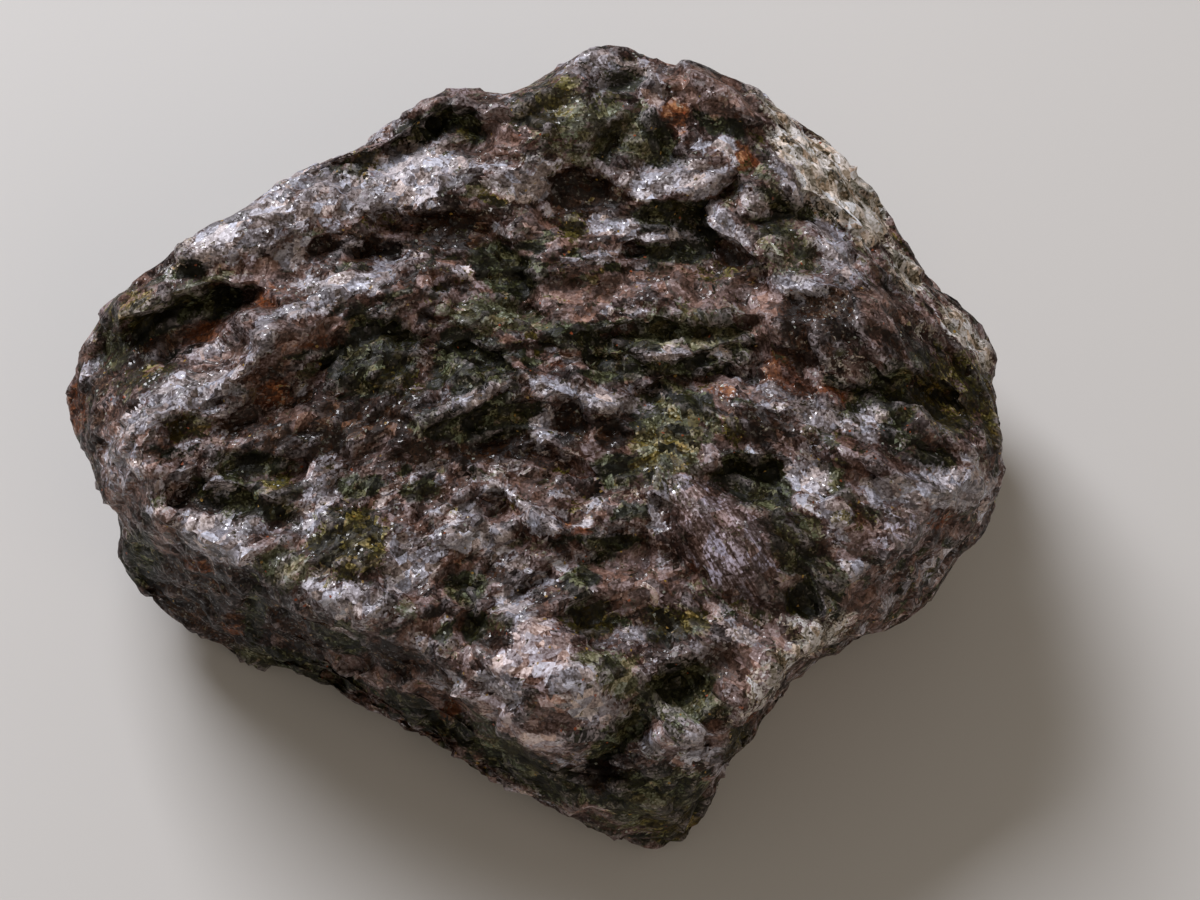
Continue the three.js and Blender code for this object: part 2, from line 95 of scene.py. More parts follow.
# How far each lip drops, and its crest.
LIPS = [
    ("left green ledge", 0.2, [(100, 330), (125, 318), (150, 307), (185, 296), (215, 284), (240, 278),
                               (255, 286)]),
    ("top rim", 0.4, [(338, 155), (370, 147), (400, 133), (432, 112), (452, 103), (472, 106), (484, 120)]),
    ("dark crystal edge", 0.25, [(398, 214), (440, 205), (472, 214), (505, 238), (541, 275), (548, 306)]),
    ("hook hollow lip", 0.4, [(322, 240), (345, 228), (375, 232), (395, 246)]),
    ("lens lip", 0.4, [(322, 350), (350, 318), (385, 311), (418, 330)]),
    ("second lens lip", 0.3, [(438, 352), (460, 338), (485, 340), (506, 356)]),
    ("crown hollow lip", 0.3, [(600, 140), (615, 118), (640, 108), (665, 120), (684, 150)]),
    ("white streak", 0.3, [(598, 165), (630, 192), (655, 201), (690, 200), (716, 184)]),
    ("small black step", 0.4, [(640, 242), (665, 238), (700, 242), (714, 256)]),
    ("brown dome lip", 0.5, [(705, 220), (735, 244), (757, 258), (770, 281), (790, 290), (836, 289)]),
    ("shoulder hollow lip", 0.2, [(772, 206), (790, 192), (815, 191), (838, 203), (850, 222)]),
    ("upper layer", 0.7, [(598, 328), (640, 318), (700, 322), (748, 316)]),
    ("middle layer", 0.7, [(612, 352), (655, 357), (700, 352), (752, 340)]),
    ("lower layer", 0.7, [(640, 382), (690, 373), (748, 360)]),
    ("black hollow lip", 0.15, [(712, 464), (730, 452), (765, 455), (790, 451), (802, 472)]),
    ("right hollow lip", 0.2, [(852, 388), (870, 371), (900, 366), (940, 373), (966, 396)]),
    ("right lower lip", 0.5, [(868, 404), (905, 432), (940, 448), (975, 452)]),
    ("upper left groove", 0.3, [(178, 471), (205, 458), (240, 448), (291, 454)]),
    ("lower left groove", 0.3, [(190, 480), (225, 481), (262, 492), (292, 506)]),
    ("under ledge", 0.4, [(588, 537), (620, 530), (650, 536), (664, 546)]),
    ("white fleck edge", 0.5, [(560, 447), (590, 462), (604, 480)]),
    ("blue-grey edge", 0.5, [(300, 612), (340, 625), (380, 636), (420, 656), (456, 690)]),
    ("white bulge foot", 0.7, [(468, 700), (500, 728), (535, 752), (570, 757), (600, 744)]),
    ("valley wall", 0.6, [(598, 740), (640, 705), (680, 675), (716, 652)]),
    ("front wall layer", 0.6, [(165, 578), (215, 590), (262, 612), (300, 640), (338, 652)]),
    ("front wall foot", 0.6, [(340, 672), (385, 682), (425, 698), (462, 724), (500, 748)]),
    ("ridge's lower face", 0.5, [(222, 392), (252, 372), (276, 350), (312, 330), (330, 322)]),
    ("middle ridge's lower face", 0.5, [(440, 416), (470, 404), (500, 392), (530, 388), (556, 402)]),
]
LIP_WIDTH = 0.3             # how wide the drop is
LIP_REACH = 1.6             # how far below it the floor has come up again
LIP_LIMIT = 4 * LIP_REACH   # and how far off it no longer counts
LIP_ENDS = (0.2, 2.0)       # a lip is still whole this far past its ends, and gone this far
LIP_WANDER = 0.45           # how far the break strays from the crest
WANDER_WAVE = 1.6
TURNED_UP = (0.05, 0.4)     # how squarely a place faces the eye, of 0 to 1, for lips to start and to be whole
# Broken stubs of dark crystals that stand up in the hollows: place in the view, half the length and width,
# degrees that the length rises, and height.
STUBS = [
    ("knob hole", 345, 176, 1.8, 0.8, 25, 0.7),
    ("left grooves", 205, 478, 1.8, 0.9, 10, 0.8),
    ("black hollow", 752, 472, 2.6, 1.3, -8, 1.0),
    ("under ledge", 614, 544, 2.0, 0.7, 0, 0.8),
    ("crown hollow", 640, 130, 1.8, 1.1, -20, 0.8),
    ("beside the lobe", 616, 770, 1.6, 1.0, -20, 0.7),
    ("right hollow", 886, 396, 1.8, 1.4, 0, 0.6),
    ("brown zone", 610, 200, 2.4, 1.0, -10, 0.5),
    ("dark band", 672, 221, 2.2, 0.8, -4, 0.5),
    ("small step", 674, 254, 1.6, 0.8, -6, 0.5),
    ("left overhang", 190, 312, 2.6, 0.7, 22, 0.5),
]
PATCH_FADE = (0.6, 1.5)     # a patch is whole up to this share of its half size, and gone at this


def smoothstep(low, high, x):
    t = np.clip((x - low) / (high - low), 0, 1)
    return t * t * (3 - 2 * t)


def drifting(points, wave, shift, octaves=3):
    """Slow noise at each point, from about -1 to 1."""
    return np.array([noise.fractal(Vector(p) / wave + Vector(shift), 1.0, 2.0, octaves) for p in points])


def as_seen(points):
    """Millimetres right of the core, up and nearer, as the broad face is seen."""
    away = points - CORE
    nearer = away @ OUT
    grown = SIGHT_DISTANCE / (SIGHT_DISTANCE - nearer)
    return away[:, 0] * grown, away @ UP * grown, nearer


def from_core(place):
    """Millimetres right of the core and up, from a place in the view."""
    step = WIDTH / WIDTH_IN_VIEW
    return (place[0] - CORE_IN_VIEW[0]) * step, (CORE_IN_VIEW[1] - place[1]) * step


def patch_strength(patches, right, up):
    """How strongly each place lies in any of the patches."""
    strength = np.zeros(right.shape)
    for name, across, down, long, wide, rise, most in patches:
        x, y = from_core((across, down))
        c, s = math.cos(math.radians(rise)), math.sin(math.radians(rise))
        along = ((right - x) * c + (up - y) * s) / long
        across_it = ((up - y) * c - (right - x) * s) / wide
        strength = np.maximum(strength, most * (1 - smoothstep(*PATCH_FADE, np.hypot(along, across_it))))
    return strength


def beside_crest(crest, right, up):
    """How far each place lies from a crest, whether below it, and how far past its ends."""
    best = np.full(right.shape, 1e3)
    below = np.zeros(right.shape)
    past = np.zeros(right.shape)
    line = [from_core(place) for place in crest]
    for (ax, ay), (bx, by) in zip(line, line[1:]):
        length = math.hypot(bx - ax, by - ay)
        tx, ty = (bx - ax) / length, (by - ay) / length
        along = (right - ax) * tx + (up - ay) * ty
        held = np.clip(along, 0, length)
        distance = np.hypot(right - ax - held * tx, up - ay - held * ty)
        nearer = distance < best
        best = np.where(nearer, distance, best)
        below = np.where(nearer, (right - ax) * ty - (up - ay) * tx, below)
        past = np.where(nearer, np.abs(along - held), past)
    return best, below, past


points = corners()
right, up, _ = as_seen(points)
facing = smoothstep(*TURNED_UP, normals() @ OUT)
wander = drifting(points, WANDER_WAVE, (3, 8, 5), 2) * LIP_WANDER
sunk = np.zeros(len(points))
for name, drop, crest in LIPS:
    distance, below, past = beside_crest(crest, right, up)
    below = below + wander
    drops = smoothstep(0, LIP_WIDTH, below) * np.exp(-np.clip(below - LIP_WIDTH, 0, None) / LIP_REACH)
    sunk += drop * drops * (1 - smoothstep(*LIP_ENDS, past)) * (distance < LIP_LIMIT)
points -= OUT * (sunk * facing)[:, None]
for stub in STUBS:
    points += OUT * (facing * patch_strength([stub], right, up))[:, None]
move_corners(points)

# Crystals: the break turns a little at each one. They lie in three drifts, which rise to the right on the
# left of the stone, lie level in the middle and fall to the right on the right. Each one's face rises to its
# lower edge and drops off there, as the layers of a slate roof do.
DRIFTS = [(-90, -5, 33), (-5, 8, 4), (8, 90, -40)]      # from and to across the stone, and degrees of rise
DRIFT_WAVE = 7        # the borders between the drifts wander in waves this long
DRIFT_STRAY = 5       # and this far
CRYSTALS = [
    # length, width, most rise to a millimetre, step, most height, how many, and degrees that they stray
    (4.2, 2.1, 0.38, 0.24, 0.60, 1400, 22),
    (2.0, 0.95, 0.36, 0.07, 0.22, 7000, 38),
]
SLANT = 0.16          # how far the faces lean along the drift, either way
CONTRARY = 0.3        # share of them that rise the other way
FEWEST = 8            # crystals in a drift
SOFT_EDGE = 0.08      # share of a crystal's size over which it gives way to the next
MOST_AT_RIM = 0.25    # share of the relief that is left where the stone turns away
RIM = (0.1, 0.4)      # how squarely it faces the eye there, and where the relief is whole again
# Where one crystal's cleavage plane shows whole and flat: place in the view, half the length and width,
# degrees that the length rises, and share of the relief that is missing there.
CLEAN_FACES = [
    ("striped crystal", 725, 537, 4.4, 2.3, -50, 0.8),
    ("right stripes", 905, 532, 2.6, 1.2, 30, 0.6),
    ("top left facet", 250, 225, 3.2, 1.4, 32, 0.6),
    ("big crystal", 480, 250, 3.6, 2.0, -36, 0.3),
    ("pink-brown smooth", 580, 298, 2.6, 1.2, -10, 0.6),
    ("pink-lavender tooth", 775, 318, 1.3, 1.9, 14, 0.7),
    ("brown dome", 820, 318, 2.2, 2.0, 0, 0.6),
    ("bulge", 550, 670, 3.0, 2.6, -30, 0.6),
]
random.seed(11)


def lay_crystals(points, length, width, rise_to_edge, step, count, stray):
    """Height of the break over its crystals, each place's crystal, and each crystal's middle and turn."""
    across, _, _ = as_seen(points)
    wavy = across + drifting(points, DRIFT_WAVE, (1, 2, 3)) * DRIFT_STRAY
    relief = np.zeros(len(points))
    home = np.zeros(len(points), dtype=int)
    middles, turns = [], []
    for low, high, rise in DRIFTS:
        turn = math.radians(rise)
        along = math.cos(turn) * RIGHT + math.sin(turn) * UP
        steep = math.cos(turn) * UP - math.sin(turn) * RIGHT
        squash = np.stack((along / length, steep / width, OUT / width))
        here = np.flatnonzero((wavy >= low) & (wavy < high))
        many = max(int(count * len(here) / len(points)), FEWEST)
        picked = points[random.sample(list(here), many)]
        tree = kdtree.KDTree(many)
        for number, seed in enumerate(picked @ squash.T):
            tree.insert(seed, number)
        tree.balance()
        own_turn = turn + np.radians([random.gauss(0, stray) for _ in range(many)])
        rises = [random.uniform(0.1, 1) * (-1 if random.random() > CONTRARY else 1) for _ in range(many)]
        own_steep = np.outer(np.cos(own_turn), UP) - np.outer(np.sin(own_turn), RIGHT)
        lean = np.array(rises)[:, None] * rise_to_edge * own_steep
        lean += np.outer([random.uniform(-SLANT, SLANT) for _ in range(many)], along)
        lift = np.array([random.uniform(-step, step) for _ in range(many)])
        for place, squashed in zip(here, points[here] @ squash.T):
            (_, first, d1), (_, second, d2) = tree.find_n(squashed, 2)
            p = points[place]
            one = lift[first] + lean[first] @ (p - picked[first])
            two = lift[second] + lean[second] @ (p - picked[second])
            mixed = 0.5 * max(0.0, 1 - (d2 - d1) / SOFT_EDGE)
            relief[place] = one + (two - one) * mixed
            home[place] = len(middles) + first
        middles.extend(picked)
        turns.extend(own_turn)
    return relief, home, np.array(middles), np.array(turns)


outwards = normals()
rim = 1 - smoothstep(*RIM, np.abs(outwards @ OUT))
relief = np.zeros(len(points))
layers = []
for length, width, rise_to_edge, step, most, count, stray in CRYSTALS:
    height, home, middles, turns = lay_crystals(points, length, width, rise_to_edge, step, count, stray)
    relief += np.clip(height, -most, most)
    layers.append((home, middles, turns))
right, up, _ = as_seen(points)
relief *= (1 - (1 - MOST_AT_RIM) * rim) * (1 - patch_strength(CLEAN_FACES, right, up) * (outwards @ OUT > 0))
points += outwards * relief[:, None]
points[:, 2] = np.maximum(points[:, 2], 0)
move_corners(points)

# Minerals: where each one comes to the surface. On the broad face they are placed one by one, as patches:
# place in the view, half the length and width, degrees that the length rises, and strength.
# Where these pale patches run along ridge tops, ledge crests, lips and rims, and over the top left facet,
# they are partly the pale feldspar and partly painted highlight on places that face the key light.
PALE = [
    ("top left facet", 248, 226, 3.4, 1.5, 32, 1.2),
    ("top left facet, brightest", 262, 222, 2.0, 1.0, 30, 1.3),
    ("facet's left end", 205, 245, 1.6, 0.8, 35, 0.8),
    ("speckled band", 330, 196, 3.6, 1.4, 28, 0.8),
    ("speckled band, upper", 396, 168, 3.2, 1.2, 24, 0.8),
    ("speckled band, right", 440, 168, 2.6, 1.4, 0, 0.7),
    ("crest of the hook", 352, 284, 2.6, 0.6, 14, 1.1),
    ("hook light", 386, 268, 1.2, 0.7, -40, 0.9),
    ("ridge sparkle", 200, 390, 3.2, 1.1, 20, 1.1),
    ("ridge, left", 150, 416, 2.0, 0.8, 25, 0.9),
    ("ridge, middle", 262, 340, 1.6, 0.7, 60, 0.9),
    ("ridge, upper", 318, 303, 2.6, 0.7, 18, 1.0),
    ("white streak", 685, 178, 2.6, 0.8, 12, 1.2),
    ("white streak's root", 640, 188, 1.2, 0.6, -35, 1.0),
    ("lavender speckle", 615, 224, 1.8, 0.8, -10, 0.8),
    ("line under the dark band", 668, 237, 2.2, 0.35, 4, 0.9),
    ("whitish-pink diagonal", 736, 232, 2.0, 0.7, -44, 1.0),
    ("blue-white lip", 804, 284, 2.4, 0.5, -6, 1.1),
    ("edge of the middle layer", 690, 354, 3.4, 0.25, 2, 1.0),
    ("edge of the lower layer", 655, 391, 2.4, 0.25, -4, 1.0),
    ("middle ridge", 482, 395, 2.2, 0.45, 24, 1.0),
    ("middle ridge, right", 562, 389, 2.0, 0.45, -22, 1.0),
    ("middle ridge, bright end", 612, 403, 2.6, 0.6, -6, 1.1),
    ("rim of the thumbprint", 546, 428, 0.4, 1.6, -10, 0.8),
    ("crown", 588, 84, 1.6, 1.5, 0, 0.6),
    ("white tip", 603, 60, 1.0, 0.5, 10, 1.1),
    ("lavender-white band", 930, 487, 4.2, 1.1, 4, 1.1),
    ("band's bright end", 965, 495, 1.8, 0.6, 6, 1.2),
    ("striped crystal's pale end", 690, 498, 1.5, 1.1, -40, 1.1),
    ("pale lumps", 814, 475, 1.1, 1.4, 0, 1.1),
    ("pink crystals", 945, 432, 0.8, 0.6, 0, 0.8),
    ("cream lump", 872, 417, 0.8, 0.6, -20, 1.0),
    ("diagonal streaks", 855, 428, 2.8, 0.4, -30, 0.8),
    ("striations", 905, 530, 2.2, 1.2, 30, 0.85),
    ("violet-white spot", 839, 537, 0.7, 0.6, 0, 1.2),
    ("blue-white corner", 678, 492, 1.0, 0.8, -57, 1.0),
    ("left thin crest", 216, 478, 1.3, 0.3, -22, 0.9),
    ("left white patch", 218, 540, 2.4, 1.1, -28, 1.25),
    ("grey-lavender ledge", 242, 521, 1.8, 0.6, -14, 0.8),
    ("pinkish-grey crystal", 319, 500, 1.2, 2.6, -20, 0.8),
    ("small white streak", 214, 428, 0.8, 0.3, 20, 1.0),
    ("whitish grey", 412, 565, 1.7, 2.2, -20, 0.85),
    ("white-lavender lump", 462, 534, 1.7, 1.0, -12, 1.1),
    ("diagonal ridge", 482, 516, 2.8, 0.35, -50, 0.9),
    ("second diagonal ridge", 528, 507, 2.6, 0.35, -40, 0.9),
    ("its pink-white end", 547, 524, 1.3, 0.8, -30, 1.1),
    ("grey-lavender roll", 352, 602, 3.0, 1.1, -14, 0.85),
    ("roll's tail", 425, 643, 1.8, 0.6, -48, 0.9),
    ("grey-mauve flow", 508, 560, 3.0, 0.7, -28, 0.7),
    ("line over the ledge", 625, 531, 1.8, 0.3, 6, 0.9),
    ("lobe ridge, top", 690, 733, 1.4, 0.4, 4, 1.0),
    ("lobe ridge, side", 714, 756, 1.5, 0.45, -60, 1.0),
    ("left mauve roll", 126, 462, 1.4, 2.2, 10, 0.6),
    ("bulge's slope", 584, 690, 2.4, 1.5, -34, 1.0),
    ("left of the bulge", 505, 690, 1.8, 1.0, -34, 0.95),
    ("over the bulge", 520, 605, 1.6, 0.8, -30, 0.9),
    ("speckled band, wide", 400, 184, 4.8, 1.5, 12, 0.9),
    ("below the crown", 522, 184, 2.2, 1.2, -20, 0.8),
    ("top left rim", 318, 160, 6.0, 0.6, 28, 1.0),
    ("crown's rim", 590, 62, 2.6, 0.5, -6, 0.9),
    ("inside the rind", 800, 178, 2.4, 1.0, -50, 1.0),
    ("inside the rind, low", 838, 248, 2.2, 0.8, -58, 0.9),
    ("between the shoulder's specks", 756, 200, 1.4, 0.6, -40, 0.9),
]
MAUVE_BROWN = [
    ("pinkish-brown block", 508, 132, 1.6, 1.4, 20, 1.1),
    ("taupe rim bump", 712, 95, 3.0, 1.1, -18, 1.1),
    ("pink-brown smooth", 572, 300, 2.2, 1.2, -10, 1.1),
    ("mauve smooth", 622, 288, 1.4, 0.8, -10, 0.8),
    ("grey-brown slope", 695, 285, 3.2, 1.3, -8, 0.8),
    ("pink-lavender tooth", 768, 316, 1.1, 1.8, 14, 1.2),
    ("band under the crest", 316, 335, 2.4, 0.8, 10, 1.0),
    ("beige block", 256, 316, 0.6, 0.6, 0, 1.1),
    ("pinkish-brown left", 297, 420, 1.2, 0.7, 0, 0.9),
    ("mauve-pink roll", 128, 460, 1.5, 2.8, 12, 0.9),
    ("tan ridge", 532, 490, 1.2, 0.6, -20, 1.0),
    ("tan on the striped crystal", 732, 556, 0.5, 0.4, 0, 1.0),
    ("tan lump", 865, 480, 0.7, 1.6, 0, 0.9),
    ("mauve-pink foot", 862, 605, 1.2, 1.0, 0, 1.1),
    ("mauve band of the bulge", 570, 712, 2.1, 0.8, -20, 1.0),
    ("pink patch", 728, 670, 0.9, 0.7, 20, 1.1),
    ("tan below the foot", 582, 810, 1.2, 0.6, 0, 1.0),
    ("wall rib", 372, 674, 2.4, 0.6, -24, 1.0),
    ("wall rib, right", 430, 690, 1.6, 0.5, -50, 0.9),
    ("low right tan", 756, 668, 3.0, 1.2, 44, 1.1),
    ("speckled hollow", 652, 575, 3.0, 1.4, -6, 0.6),
    ("lavender brown middle", 375, 450, 1.8, 0.9, 10, 0.6),
    ("dome's shoulder", 885, 310, 1.6, 1.2, -30, 0.8),
    ("wall top", 165, 535, 0.7, 1.2, -10, 0.9),
]
BLACK = [
    ("left overhang", 185, 312, 3.8, 1.1, 22, 1.2),
    ("left overhang, blackest", 220, 302, 1.5, 1.1, 24, 1.3),
    ("left specks", 200, 264, 1.5, 1.0, 35, 0.8),
    ("knob hole", 324, 176, 0.8, 0.8, 0, 1.1),
    ("knob groove", 358, 172, 1.5, 0.8, 30, 0.85),
    ("top rim", 436, 124, 2.8, 0.8, 24, 1.0),
    ("top rim end", 473, 137, 0.7, 0.9, 0, 1.1),
    ("crown spots", 622, 78, 1.2, 1.4, -20, 1.1),
    ("crown hollow", 640, 126, 1.6, 0.9, -20, 1.2),
    ("crown hollow, low", 655, 152, 2.2, 1.2, -30, 0.9),
    ("crown right", 722, 122, 1.5, 0.8, -20, 1.1),
    ("dark band", 676, 221, 2.7, 1.1, -8, 1.25),
    ("small step", 675, 256, 2.0, 1.1, -6, 1.3),
    ("big crystal", 508, 272, 2.3, 1.3, -40, 1.2),
    ("big crystal's right edge", 522, 280, 1.2, 1.8, -50, 1.3),
    ("shoulder hollow", 813, 208, 2.0, 0.8, -8, 1.3),
    ("shoulder, mixed", 775, 215, 1.5, 2.2, -40, 0.7),
    ("lens", 374, 355, 3.1, 2.4, 8, 1.2),
    ("second lens", 473, 366, 2.3, 1.9, 5, 1.3),
    ("dark ball", 574, 333, 1.7, 1.2, 0, 0.8),
    ("layers, all", 688, 346, 4.0, 2.0, 0, 1.0),
    ("centre, dark", 668, 425, 2.2, 2.8, 0, 1.0),
    ("layers, top", 660, 340, 2.8, 0.6, 2, 1.2),
    ("layers, middle", 626, 371, 1.6, 0.6, 0, 1.2),
    ("layers, right", 720, 362, 2.0, 0.5, 8, 1.2),
    ("layers, low", 610, 362, 1.2, 1.6, 0, 0.7),
    ("dark fan", 480, 420, 4.4, 1.4, 4, 0.85),
    ("right hollow", 886, 394, 1.9, 1.7, 0, 1.25),
    ("right hollow, rim", 922, 361, 0.9, 0.7, 0, 1.1),
    ("right hollow, spot", 945, 415, 0.7, 0.4, 0, 1.0),
    ("under the lumps", 932, 464, 1.6, 0.7, -6, 1.2),
    ("black hollow", 754, 482, 2.4, 1.7, -10, 1.3),
    ("centre", 620, 470, 1.5, 1.0, 0, 1.1),
    ("under ledge", 614, 543, 1.9, 0.6, 0, 1.3),
    ("left low patch", 256, 461, 2.5, 0.7, -6, 1.1),
    ("left blade", 231, 494, 2.2, 1.1, -6, 1.2),
    ("left wedge", 288, 512, 0.9, 0.6, 0, 1.1),
    ("low left patch", 366, 485, 1.7, 0.9, 0, 1.1),
    ("low left patch, right", 425, 490, 1.3, 0.8, 0, 0.9),
    ("small eye", 472, 586, 1.2, 1.0, 0, 1.3),
    ("round pit", 481, 626, 0.9, 1.2, 0, 1.0),
    ("green-black", 585, 580, 1.1, 1.4, 0, 1.0),
    ("gold basin", 590, 622, 2.0, 1.0, -6, 0.9),
    ("gold basin, right", 680, 622, 2.0, 1.3, -6, 0.9),
    ("right foot", 825, 598, 1.8, 1.4, 0, 1.3),
    ("right slope", 800, 552, 3.2, 1.6, -34, 0.6),
    ("valley", 648, 708, 4.6, 1.0, 44, 1.35),
    ("valley, right", 695, 700, 2.4, 1.8, 40, 0.95),
    ("beside the lobe", 540, 775, 4.2, 1.0, -26, 1.2),
    ("lobe", 660, 800, 3.6, 2.2, -6, 0.8),
    ("lobe's lower edge", 690, 838, 2.2, 0.8, 6, 1.2),
    ("cleft in the wall", 256, 616, 0.6, 1.8, -8, 1.2),
    ("wall's left corner", 140, 560, 1.3, 1.9, -10, 0.9),
    ("wall's foot", 300, 668, 4.4, 0.9, -16, 0.9),
    ("wall's foot, right", 440, 722, 3.6, 0.7, -28, 1.2),
    ("wall, under the roll", 345, 640, 2.2, 0.7, -24, 0.8),
    ("shadowed roll", 150, 330, 1.3, 0.8, 20, 0.9),
]
GREY_GREEN = [
    ("ledge rim", 165, 300, 4.6, 0.5, 22, 1.1),
    ("crown speckle", 596, 126, 3.4, 2.2, -25, 0.9),
    ("crown, light", 560, 120, 2.2, 1.3, 20, 1.1),
    ("grey-green band", 496, 315, 3.2, 1.2, -6, 0.9),
    ("lens of green", 585, 282, 1.0, 0.5, 0, 1.1),
    ("shoulder speckle", 778, 244, 2.6, 1.8, -30, 0.65),
    ("shoulder speckle, top", 782, 175, 1.8, 1.0, -50, 0.6),
    ("layers", 690, 330, 3.2, 1.4, 2, 0.8),
    ("centre speckle", 672, 450, 2.2, 3.0, 0, 0.9),
    ("blade", 838, 482, 0.8, 1.2, 0, 1.0),
    ("speckle by the bulge", 610, 674, 2.6, 1.6, -6, 1.0),
    ("low left speckle", 290, 568, 1.4, 1.3, 0, 0.9),
    ("valley's right side", 705, 690, 2.6, 1.6, 30, 0.8),
    ("lobe", 655, 812, 2.6, 1.3, 0, 0.8),
    ("lobe, left", 590, 835, 1.8, 0.6, -14, 0.7),
    ("right slope", 800, 520, 2.0, 1.0, -30, 0.6),
    ("left rim", 115, 350, 1.0, 1.4, 0, 0.7),
    ("wall", 260, 660, 1.6, 0.6, -20, 0.8),
    ("wall, right", 500, 735, 2.0, 0.7, -40, 0.9),
    ("above the roll", 400, 610, 1.6, 0.9, -20, 0.6),
]
GOLD = [
    ("ledge rim specks", 140, 305, 1.6, 1.2, 24, 0.8),
    ("left floor specks", 144, 378, 1.9, 0.7, 20, 0.8),
    ("knob specks", 366, 165, 1.0, 1.0, 0, 0.9),
    ("gold bit", 461, 138, 0.6, 0.5, 0, 1.1),
    ("cream-yellow speckle", 548, 106, 2.5, 1.3, 24, 1.0),
    ("gold-orange spot", 576, 223, 0.7, 0.8, 0, 1.1),
    ("orange spots", 715, 275, 1.0, 0.9, 0, 0.8),
    ("right gold", 955, 392, 2.7, 2.6, -40, 0.9),
    ("edge strip", 991, 425, 0.5, 1.7, 5, 1.1),
    ("gold-brown spot", 735, 427, 0.6, 0.6, 0, 1.1),
    ("centre yellow", 668, 455, 1.8, 2.6, 0, 0.6),
    ("left olive crystal", 278, 490, 1.3, 1.2, 0, 1.0),
    ("olive dark", 188, 425, 1.7, 0.9, 10, 0.8),
    ("mossy olive", 354, 540, 2.3, 2.3, -30, 1.1),
    ("gold on black", 590, 622, 1.8, 1.0, -4, 1.0),
    ("gold on black, right", 680, 620, 1.9, 1.2, 0, 1.0),
    ("olive line", 628, 708, 1.0, 0.3, 44, 1.0),
    ("lobe specks", 672, 822, 1.8, 1.1, 0, 0.9),
    ("orange-yellow speckle", 738, 742, 0.8, 1.3, -20, 1.1),
    ("eye speck", 476, 588, 0.5, 0.4, 0, 1.0),
    ("lens edge", 402, 386, 1.8, 0.7, -20, 0.7),
]
BROWN = [
    ("overhang's floor", 135, 348, 2.2, 1.5, 10, 1.0),
    ("translucent tip", 98, 385, 0.8, 0.9, 0, 1.1),
    ("hook hollow", 358, 246, 2.3, 0.8, 0, 1.2),
    ("big crystal, top", 452, 226, 2.9, 1.5, -34, 1.2),
    ("brown zone", 587, 194, 2.6, 1.6, -14, 1.0),
    ("dark diagonal", 740, 272, 1.9, 0.6, -44, 1.1),
    ("brown dome", 818, 322, 2.5, 2.4, 0, 1.4),
    ("brown dome, right", 885, 312, 2.4, 1.5, -30, 0.9),
    ("thumbprint", 573, 424, 1.2, 1.5, -20, 1.2),
    ("brown eye", 616, 434, 0.8, 1.0, 0, 1.2),
    ("left slope", 350, 428, 6.2, 1.8, 4, 1.0),
    ("left slope, low", 300, 440, 3.0, 1.4, 10, 0.9),
    ("dark middle", 470, 440, 5.2, 1.6, 0, 1.0),
    ("brown slope, right", 800, 545, 3.0, 1.8, -34, 0.9),
    ("brown core of the bulge", 525, 640, 1.3, 0.7, -10, 1.1),
    ("brown under the bulge", 505, 698, 1.6, 1.1, -20, 1.0),
    ("lobe", 640, 780, 3.6, 1.2, -6, 0.9),
    ("wall", 215, 600, 4.6, 2.2, -24, 1.2),
    ("wall, middle", 300, 628, 2.6, 1.6, -24, 1.0),
    ("wall, right", 400, 660, 2.6, 1.0, -30, 0.9),
    ("right brown", 905, 345, 1.6, 1.2, -40, 0.8),
    ("centre right", 770, 430, 2.4, 1.4, -20, 0.8),
    ("purple hollow", 520, 580, 2.6, 1.0, -30, 0.8),
    ("left side", 105, 440, 1.0, 2.0, 10, 0.8),
]
RUST = [
    ("orange-brown crystal", 214, 331, 1.3, 0.7, 14, 1.0),
    ("copper glints", 272, 296, 0.6, 1.0, 0, 1.0),
    ("rusty tip", 77, 408, 0.6, 1.5, 0, 1.2),
    ("rust under the crest", 322, 343, 1.4, 0.4, 8, 1.0),
    ("rust on the crown", 672, 112, 1.1, 0.5, -10, 1.0),
    ("gold-orange spot", 576, 223, 0.6, 0.6, 0, 0.9),
    ("rust basin", 778, 366, 1.3, 1.0, -30, 0.85),
    ("rust basin, low", 800, 388, 1.2, 0.6, -30, 0.7),
    ("orange crystal", 277, 392, 0.8, 0.9, 0, 1.1),
    ("rust right", 938, 520, 0.9, 0.7, 0, 1.1),
    ("orange spots", 715, 275, 0.9, 0.8, 0, 0.8),
    ("wall's rust", 235, 630, 0.6, 0.5, 0, 0.9),
    ("wall's rust, left", 200, 565, 1.4, 0.5, -20, 0.7),
    ("low rust", 452, 708, 0.6, 0.9, -40, 0.8),
    ("low right rust", 750, 712, 0.5, 0.7, 0, 0.8),
]
RIND = [
    ("top of the shoulder", 800, 146, 2.0, 1.0, -32, 1.2),
    ("shoulder", 834, 178, 3.0, 1.8, -52, 1.25),
    ("shoulder, middle", 862, 212, 2.4, 1.3, -60, 1.15),
    ("shoulder, low", 905, 270, 1.8, 0.7, -60, 1.0),
    ("right edge", 960, 328, 1.6, 0.7, -50, 1.0),
    ("right edge, low", 984, 358, 1.3, 0.5, -70, 0.9),
    ("rim", 780, 114, 1.4, 0.5, -35, 0.8),
    ("low right rind", 768, 684, 3.2, 0.6, 48, 0.8),
    ("low right rind, upper", 820, 638, 2.6, 0.7, 30, 0.9),
]
MILKY = [
    ("bulge", 550, 650, 2.0, 1.7, -40, 1.1),
    ("bulge's left", 508, 660, 1.0, 0.6, -30, 0.95),
    ("bulge's foot", 545, 742, 1.9, 0.6, -16, 1.0),
    ("bulge's foot, left", 500, 712, 1.5, 0.7, -42, 1.0),
]
STRIPED = [
    ("striped crystal", 728, 540, 4.4, 2.3, -50, 1.1),
    ("right stripes", 905, 532, 2.6, 1.2, 30, 0.7),
]
